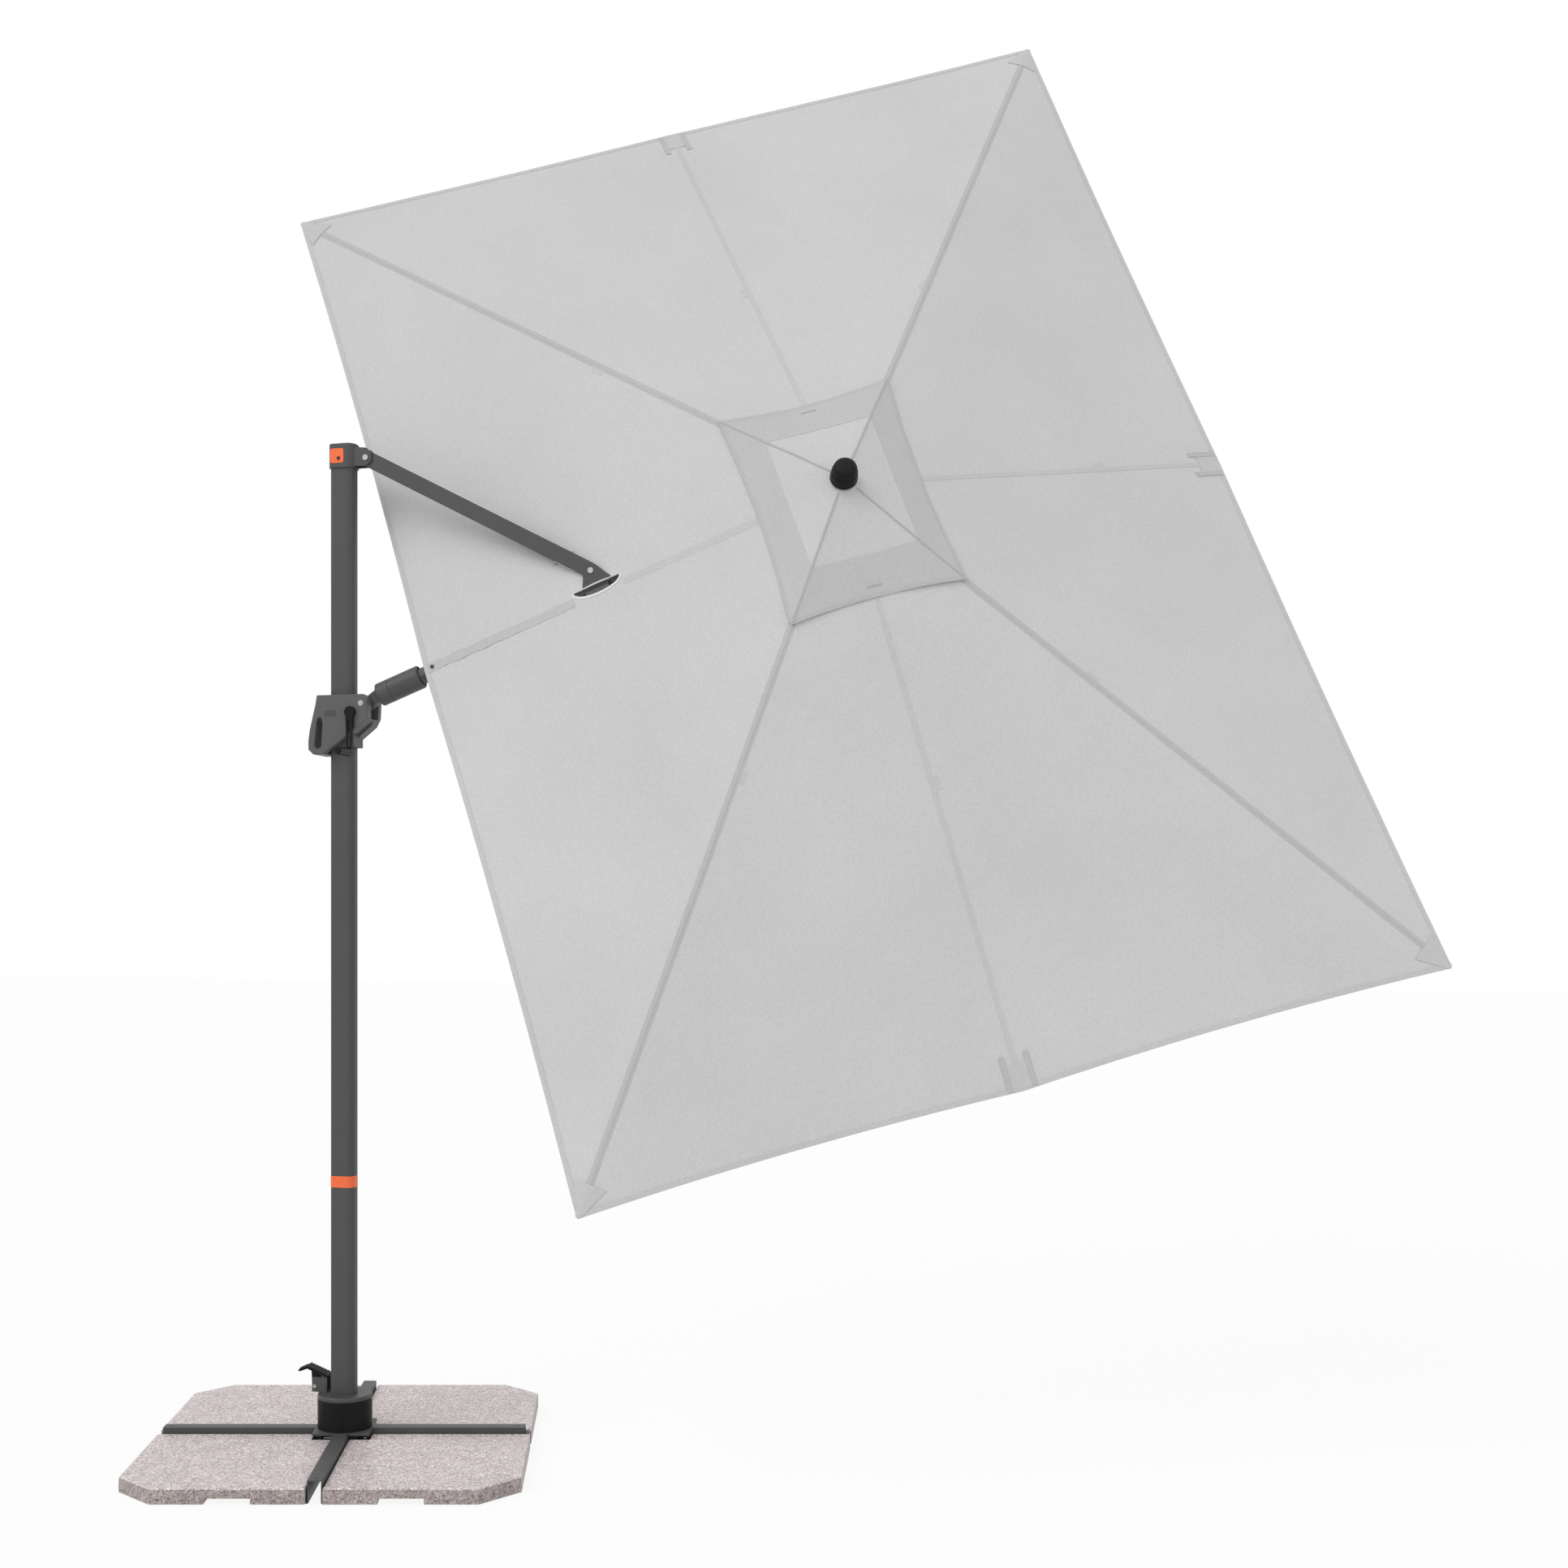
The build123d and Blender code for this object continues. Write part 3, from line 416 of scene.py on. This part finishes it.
def sheet_mesh(name, rows, height, thickness, material, lift=0.0):
    """A closed thin sheet over a grid of (x, y) points, on the height function."""
    vertices = []
    for top in (True, False):
        for row in rows:
            for x, y in row:
                z = height(x, y) + lift - (0 if top else thickness)
                vertices.append(in_world((x, y, z)))
    n, m = len(rows), len(rows[0])
    faces = []

    def index(top, i, j):
        return (0 if top else n * m) + i * m + j

    for i in range(n - 1):
        for j in range(m - 1):
            faces.append((index(1, i, j), index(1, i, j + 1), index(1, i + 1, j + 1), index(1, i + 1, j)))
            faces.append((index(0, i, j), index(0, i + 1, j), index(0, i + 1, j + 1), index(0, i, j + 1)))
    border = ([(i, 0) for i in range(n)] + [(n - 1, j) for j in range(1, m)]
              + [(i, m - 1) for i in range(n - 2, -1, -1)] + [(0, j) for j in range(m - 2, 0, -1)])
    for (a, b), (c, d) in zip(border, border[1:] + border[:1]):
        faces.append((index(1, a, b), index(1, c, d), index(0, c, d), index(0, a, b)))
    return mesh_object(name, vertices, faces, material)


def ribbon(name, path, width, height, lift, thickness, material, columns=4, wave=None):
    """A band laid along a line of (x, y) points on the height function."""
    points = [Vector(p) for p in path]
    rows = []
    for i, p in enumerate(points):
        ahead = points[min(i + 1, len(points) - 1)] - points[max(i - 1, 0)]
        side = Vector((-ahead.y, ahead.x)).normalized()
        half = width(i / (len(points) - 1)) / 2 if callable(width) else width / 2
        rows.append([tuple(p + side * half * (2 * k / columns - 1)) for k in range(columns + 1)])

    def place(x, y):
        return height(x, y) + (wave(x, y) if wave else 0)

    return sheet_mesh(name, rows, place, thickness, material, lift)


def line(a, b, count):
    a, b = Vector(a), Vector(b)
    return [tuple(a.lerp(b, k / count)) for k in range(count + 1)]


# ---- Gores: one to each rib and one to the boom ----
wide = corner_bearing / 2
narrow = (90 - corner_bearing) / 2
GORES = [
    ("outer", 0.0, wide, wide),
    ("outer_rear", corner_bearing, wide, narrow),
    ("rear", 90.0, narrow, narrow),
    ("inner_rear", 180 - corner_bearing, narrow, wide),
    ("boom", 180.0, wide, wide),
    ("inner_front", 180 + corner_bearing, wide, narrow),
    ("front", 270.0, narrow, narrow),
    ("outer_front", 360 - corner_bearing, narrow, wide),
]
corner_names = ("outer_rear", "inner_rear", "inner_front", "outer_front")


def body_of(name):
    return "boom" if name == "boom" else "rib_" + name


def slope_of(bearing):
    return atan(rise / rim(bearing).length)


def follow_fold(piece, name):
    """The piece rides on its rib."""
    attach(piece, body_of(name))
    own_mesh(piece)
    return piece


def sides_of(bearing, before, after):
    """Rim points from one seam to the next, evenly spaced on each straight side."""
    first, middle, last = rim(bearing - before), rim(bearing), rim(bearing + after)
    return line(first, middle, gore_columns) + line(middle, last, gore_columns)[1:]


def gore_rows(bearing, before, after, inner, outer, scallop, steps, dip):
    """Rows of points from the inner share to the outer one, pulled in between ribs by the scallop."""
    rows = []
    edge = sides_of(bearing, before, after)
    for i in range(steps + 1):
        row = []
        for x, y in edge:
            reach = outer * (1 - scallop * dip(x, y))
            share = inner + (reach - inner) * i / steps
            row.append((x * share, y * share))
        rows.append(row)
    return rows


def flat_facts(bearing, before, after, inner, outer):
    """Width, length and area of a gore's cut: its two flat halves opened out along the rib."""
    area, reach, low, high = 0.0, 0.0, 1e9, 0.0
    spine = Vector((*(rim(bearing)), -rise)).normalized()
    for seam in (rim(bearing - before), rim(bearing + after)):
        end, middle = Vector((*seam, -rise)), Vector((*rim(bearing), -rise))
        area += end.cross(middle).length / 2 * (outer ** 2 - inner ** 2)
        along = end.dot(spine)
        reach += (end - spine * along).length * outer
        low = min(low, along * inner, middle.length * inner)
        high = max(high, along * outer, middle.length * outer)
    return reach, high - low, area


def prism(points):
    """A tall block over an outline in the canopy's plane."""
    count = len(points)
    low, high = -rise - 0.2, 0.1
    vertices = [in_world((x, y, low)) for x, y in points] + [in_world((x, y, high)) for x, y in points]
    faces = [tuple(range(count)), tuple(range(2 * count - 1, count - 1, -1))]
    faces += [(k, (k + 1) % count, count + (k + 1) % count, count + k) for k in range(count)]
    return mesh_object("cutter", vertices, faces, canopy_cloth)


def cut_away(piece, cutter):
    """Cut a closed shape out of a closed sheet."""
    modifier = piece.modifiers.new("opening", "BOOLEAN")
    modifier.operation = "DIFFERENCE"
    modifier.solver = "EXACT"
    modifier.object = cutter
    bpy.context.view_layer.update()
    evaluated = piece.evaluated_get(bpy.context.evaluated_depsgraph_get())
    cut = bpy.data.meshes.new_from_object(evaluated)
    piece.modifiers.clear()
    piece.data = cut
    piece.data.materials.clear()
    piece.data.materials.append(canopy_cloth)
    bpy.data.objects.remove(cutter)
    piece.data.set_sharp_from_angle(angle=radians(50))


# The opening for the strut: a lens below the saddle's flange. The cloth fits closely round the rest.
lens_half = 0.062
lens_top = 0.024
lens_depth = 0.028
fit_gap = 0.0008


def opening_outline(grow=0.0):
    """The lens below the saddle's flange, as points in the canopy's plane."""
    arc = 24
    points = []
    for k in range(arc + 1):
        angle = pi + pi * k / arc
        points.append((saddle_x + (lens_half + grow) * cos(angle), lens_top + (lens_depth + grow) * sin(angle)))
    return points


def swollen(node, grow):
    """A copy of a CAD piece with its surface moved outward a little."""
    mesh = frame["nodes"][node].data.copy()
    mesh.transform(frame["nodes"][node].matrix_world)
    work = bmesh.new()
    work.from_mesh(mesh)
    bmesh.ops.remove_doubles(work, verts=work.verts, dist=1e-6)
    work.normal_update()
    moves = [vertex.normal * grow for vertex in work.verts]
    for vertex, move in zip(work.verts, moves):
        vertex.co += move
    work.to_mesh(mesh)
    work.free()
    made = bpy.data.objects.new("cutter", mesh)
    bpy.context.scene.collection.objects.link(made)
    return made


for name, bearing, before, after in GORES:
    is_corner = name in corner_names
    spine_end = rim(bearing)
    out = spine_end.normalized()
    side = Vector((-out.y, out.x))

    rows = gore_rows(bearing, before, after, hole_share, 1.0, hem_scallop, gore_steps, between_ribs)
    main = sheet_mesh("canopy_" + name, rows, main_height, cloth, canopy_cloth)
    if name == "boom":
        for cutter in (prism(opening_outline()), swollen("saddle_collar", fit_gap), swollen("strut", fit_gap)):
            cut_away(main, cutter)
    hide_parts("gore_" + name)

    # The hem is a real folded edge; its darker cloth is painted shade of the doubled layer.
    extras = [ribbon("hem_" + name, [(x * 0.9955, y * 0.9955) for x, y in rows[-1]], hem_width,
                     main_height, *laid["hem"], hem_and_painted_shade_cloth)]
    if name != "boom":
        # A darker tape along the rib: the rib's shadow through the cloth, painted on as a strip.
        extras.append(ribbon("rib_shadow_tape_" + name, line(spine_end * (hole_share + 0.004), spine_end * 0.985, 60),
                             corner_rib_shadow_tape_width if is_corner else rib_shadow_tape_width, main_height, *laid["rib_shadow_tape"],
                             strap_and_painted_shade_cloth if is_corner else hem_and_painted_shade_cloth))
        # A small darker patch beside the rib: the shadow of the stretcher's joint through the cloth, painted on.
        joint_share = (hub_pivot_radius + stretcher_joint * cos(slope_of(bearing))) / spine_end.length
        spot = spine_end * joint_share + side * 0.011
        extras.append(ribbon("joint_shadow_patch_" + name, line(spot - out * 0.016, spot + out * 0.016, 4), 0.020,
                             main_height, *laid["joint_shadow_patch"], hem_and_painted_shade_cloth, columns=3))
    if is_corner:
        extras.append(ribbon("ridge_seam_" + name, line(spine_end * hole_share, spine_end * 0.99, 70), 0.0034,
                             main_height, *laid["ridge_seam"], strip_and_painted_shade_cloth, columns=2))
        tip = [tuple(spine_end * (corner_pocket + 0.043 * k / 8)) for k in range(9)]
        extras.append(ribbon("tip_pocket_" + name, tip, lambda t: 0.070 * (1 - t) + 0.012, main_height,
                             *laid["tip_pocket"], hem_and_painted_shade_cloth, columns=6))
    elif name != "boom":
        for k, offset in enumerate((-pocket_strap_side, pocket_strap_side)):
            strap = line(spine_end * 0.998 - out * pocket_length + side * offset,
                         spine_end * 0.998 - out * 0.002 + side * offset, 10)
            extras.append(ribbon(f"pocket_strap_{name}_{k}", strap, 0.013, main_height,
                                 *laid["pocket_strap"], strap_and_painted_shade_cloth))
        patch = line(spine_end * 0.998 - out * pocket_length * 0.75, spine_end * 0.998 - out * 0.003, 10)
        extras.append(ribbon("pocket_patch_" + name, patch, 0.050, main_height, *laid["pocket_patch"],
                             hem_and_painted_shade_cloth, columns=6))
    for piece in [main, *extras]:
        follow_fold(piece, name)
    width, length, area = flat_facts(bearing, before, after, hole_share, 1.0)

    vent_rows = gore_rows(bearing, before, after, vent_eye * 1.6, vent_share, vent_scallop, vent_steps,
                          between_ribs_of_corners)
    flap = sheet_mesh("vent_" + name, vent_rows, vent_height, cloth, vent_cloth)
    # The vent cap's real hem, in darker cloth as painted shade of the doubled layer.
    vent_hem = ribbon("vent_hem_" + name, [(x * 0.985, y * 0.985) for x, y in vent_rows[-1]], 0.009,
                      vent_height, *laid["vent_hem"], strap_and_painted_shade_cloth)
    # A darker band where the vent cap lies over the main cloth: painted shade of the two layers.
    band_rows = gore_rows(bearing, before, after, hole_share, vent_share, vent_scallop * 0.9, band_steps,
                          between_ribs_of_corners)
    band = sheet_mesh("vent_overlap_shade_" + name, band_rows, vent_height, 0.0006, strip_and_painted_shade_cloth, 0.0007)
    vent_extras = [vent_hem, band]
    if name in ("rear", "front"):
        middle = spine_end * (vent_share * 0.86)
        tack_half = Vector((0.020, 0))
        vent_extras.append(ribbon("vent_tack_" + name, line(middle - tack_half, middle + tack_half, 6), 0.0035,
                                  vent_height, *laid["vent_tack"], dark_cloth, columns=2))
    if is_corner:
        vent_extras.append(ribbon("vent_seam_" + name,
                                  line(spine_end * vent_eye * 2.2, spine_end * vent_share * 0.99, 24), 0.0045,
                                  vent_height, *laid["vent_seam"], dark_cloth, columns=2))
    for piece in [flap, *vent_extras]:
        follow_fold(piece, name)
    width, length, area = flat_facts(bearing, before, after, vent_eye * 1.6, vent_share)


# The wrinkled cover strip over the boom, from the edge to the opening, and a flat one beyond it.
def boom_wrinkle(x, y):
    return 0.0030 * abs(noise.noise(Vector((x * 62.0 + y * 30.0, y * 14.0, 1.3))))


cover = ribbon("boom_cover_strip", line((-half_length * 0.992, 0), (saddle_x - lens_half - cover_end_gap, 0), 110),
               lambda t: 0.024 + 0.003 * sin(t * 37.0) * exp(-t), main_height, *laid["cover"],
               strip_and_painted_shade_cloth, columns=8, wave=boom_wrinkle)
inner_cover = ribbon("boom_cover_inner", line((saddle_x + lens_half + cover_end_gap, 0),
                                              (-half_length * (hole_share + 0.01), 0), 60),
                     0.020, main_height, *laid["inner_cover"], hem_and_painted_shade_cloth, columns=6)
lip = opening_outline(0.002)
lip = [point for a, b in zip(lip, lip[1:]) for point in line(a, b, 3)[:-1]] + lip[-1:]
rimmed = ribbon("opening_binding", lip, 0.006, main_height, *laid["binding"], binding_cloth, columns=2)
for piece in (cover, inner_cover, rimmed):
    follow_fold(piece, "boom")


# ---- Turned and moulded trims ----
def lathe(name, profile, place, material, segments=64):
    """A turned piece: (radius, height) points, smoothed and spun about its own z."""
    vertices, faces = [], []
    for radius, height in profile:
        for k in range(segments):
            angle = 2 * pi * k / segments
            vertices.append(place @ Vector((radius * cos(angle), radius * sin(angle), height)))
    for i in range(len(profile) - 1):
        first, second = i * segments, (i + 1) * segments
        for k in range(segments):
            after = (k + 1) % segments
            faces.append((first + k, first + after, second + after, second + k))
    return mesh_object(name, vertices, faces, material, smooth_angle=35)


knob_base = vent_rise - rise * vent_eye + 0.0003
knob = [(0.0001, 0.0), (0.0335, 0.0), (0.0345, 0.0015), (0.0345, 0.007), (0.0340, 0.013), (0.0331, 0.022),
        (0.0324, 0.0300), (0.0317, 0.0314), (0.0305, 0.0320), (0.0303, 0.0332), (0.0301, 0.0385), (0.0294, 0.0435),
        (0.0276, 0.0482), (0.0240, 0.0519), (0.0180, 0.0545), (0.0095, 0.0558), (0.0001, 0.0563)]
finial = lathe("finial_knob", knob, canopy_frame @ shift(0, 0, knob_base), black)
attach(finial, "crown")
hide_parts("finial")

screw = [(0.0001, 0.0002), (0.0012, 0.0002), (0.0016, 0.0012), (0.0034, 0.0016), (0.0046, 0.0010), (0.0050, 0.0)]
facing = turn(pi / 2, "X")
badge_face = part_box("trim_labels")[0].y
cap_screw = lathe("badge_screw", screw, shift(-0.006, badge_face - 0.0002, top_pivot_z) @ facing, screw_steel, 32)
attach(cap_screw, "mast")
edge_x = -half_length * 0.982
edge_screw = lathe("edge_screw", screw, canopy_frame @ shift(edge_x, 0, main_height(edge_x, 0) + 0.0042)
                   @ turn(-slope_x, "Y"), screw_steel, 32)
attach(edge_screw, "boom")

pill_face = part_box("slider_front_shell")[0].y
pill_radius = 0.0085
pill_count = 48
pill = []
for k in range(pill_count):
    angle = 2 * pi * k / pill_count
    pill.append((copysign(pill_radius, cos(angle)) + pill_radius * cos(angle), pill_radius * sin(angle)))
pill_rings = [(1.0, 0.0), (0.985, -0.0007), (0.80, -0.0007), (0.76, -0.0003), (0.02, -0.0003)]
pill_place = shift(-0.021, pill_face, slider_z - 0.025)
pill_points = [pill_place @ Vector((x * scale, depth, z * scale)) for scale, depth in pill_rings for x, z in pill]
pill_faces = []
for i in range(len(pill_rings) - 1):
    first, second = i * pill_count, (i + 1) * pill_count
    for k in range(pill_count):
        after = (k + 1) % pill_count
        pill_faces.append((first + k, first + after, second + after, second + k))
pill_badge = mesh_object("pill_badge", pill_points, pill_faces, alloy, smooth_angle=30)
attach(pill_badge, "slider")

# ---- Camera: level, with a shifted lens ----
focal_pixels = 2327.0
picture = 1932.0
centre_x, centre_y = 782.0, 1118.0          # where the level line of sight meets the picture
camera_place = (0.7694, -5.0165, 1.433)     # metres, in the turned base's directions
camera_data = bpy.data.cameras.new("camera")
camera_data.sensor_width = 36.0
camera_data.lens = focal_pixels / picture * camera_data.sensor_width
camera_data.shift_x = (picture / 2 - centre_x) / picture
camera_data.shift_y = (centre_y - picture / 2) / picture
camera_data.clip_end = 60.0
camera = bpy.data.objects.new("camera", camera_data)
bpy.context.scene.collection.objects.link(camera)
camera.matrix_world = turn(base_turn, "Z") @ shift(*camera_place) @ turn(pi / 2, "X")
bpy.context.scene.camera = camera

# ---- Floor, light and background ----
def seen_by(tree):
    """1 where a camera, glossy or transmitted ray looks, for a white background."""
    rays = tree.nodes.new("ShaderNodeLightPath")
    last = rays.outputs["Is Camera Ray"]
    for other in ("Is Glossy Ray", "Is Transmission Ray"):
        either = tree.nodes.new("ShaderNodeMath")
        either.operation = "MAXIMUM"
        tree.links.new(last, either.inputs[0])
        tree.links.new(rays.outputs[other], either.inputs[1])
        last = either.outputs[0]
    return last


floor_white = 0.90           # share of plain white in what looks at the floor


def floor_finish():
    """A pale floor that looks nearly white and keeps a faint shadow."""
    material = surface_material("floor_finish", (0.92, 0.92, 0.92), 0.85, 40.0, 0.0002,
                                cloudy=0.01, specular=0.1)
    tree = material.node_tree
    share = tree.nodes.new("ShaderNodeMath")
    share.operation = "MULTIPLY"
    share.inputs[1].default_value = floor_white
    tree.links.new(seen_by(tree), share.inputs[0])
    white = tree.nodes.new("ShaderNodeEmission")
    blend = tree.nodes.new("ShaderNodeMixShader")
    tree.links.new(share.outputs[0], blend.inputs["Fac"])
    tree.links.new(tree.nodes["Principled BSDF"].outputs["BSDF"], blend.inputs[1])
    tree.links.new(white.outputs["Emission"], blend.inputs[2])
    tree.links.new(blend.outputs["Shader"], tree.nodes["Material Output"].inputs["Surface"])
    return material


floor_mesh = bpy.data.meshes.new("floor")
reach = 30.0
floor_mesh.from_pydata([(-reach, -reach, 0), (reach, -reach, 0), (reach, reach, 0), (-reach, reach, 0)],
                       [], [(0, 1, 2, 3)])
floor = bpy.data.objects.new("floor", floor_mesh)
floor_mesh.materials.append(floor_finish())
bpy.context.scene.collection.objects.link(floor)

sky_strength = 0.62
world = bpy.data.worlds.new("studio")
world.use_nodes = True
bpy.context.scene.world = world
tree = world.node_tree
tree.nodes.clear()
lit = tree.nodes.new("ShaderNodeBackground")
lit.inputs["Color"].default_value = (1, 1, 1, 1)
lit.inputs["Strength"].default_value = sky_strength
seen = tree.nodes.new("ShaderNodeBackground")
seen.inputs["Color"].default_value = (1, 1, 1, 1)
seen.inputs["Strength"].default_value = 1.0
choose = tree.nodes.new("ShaderNodeMixShader")
output = tree.nodes.new("ShaderNodeOutputWorld")
tree.links.new(seen_by(tree), choose.inputs["Fac"])
tree.links.new(lit.outputs["Background"], choose.inputs[1])
tree.links.new(seen.outputs["Background"], choose.inputs[2])
tree.links.new(choose.outputs["Shader"], output.inputs["Surface"])


def sun(name, strength, spread, toward):
    """A soft, even light that shines along a direction."""
    data = bpy.data.lights.new(name, "SUN")
    data.energy = strength
    data.angle = radians(spread)
    lamp = bpy.data.objects.new(name, data)
    lamp.rotation_euler = Vector(toward).to_track_quat("-Z", "Y").to_euler()
    bpy.context.scene.collection.objects.link(lamp)


sun("key", 1.15, 40, (0.55, 0.75, -0.85))
sun("fill", 0.35, 60, (-0.7, 0.6, -0.35))

bpy.context.scene.view_settings.view_transform = "Standard"
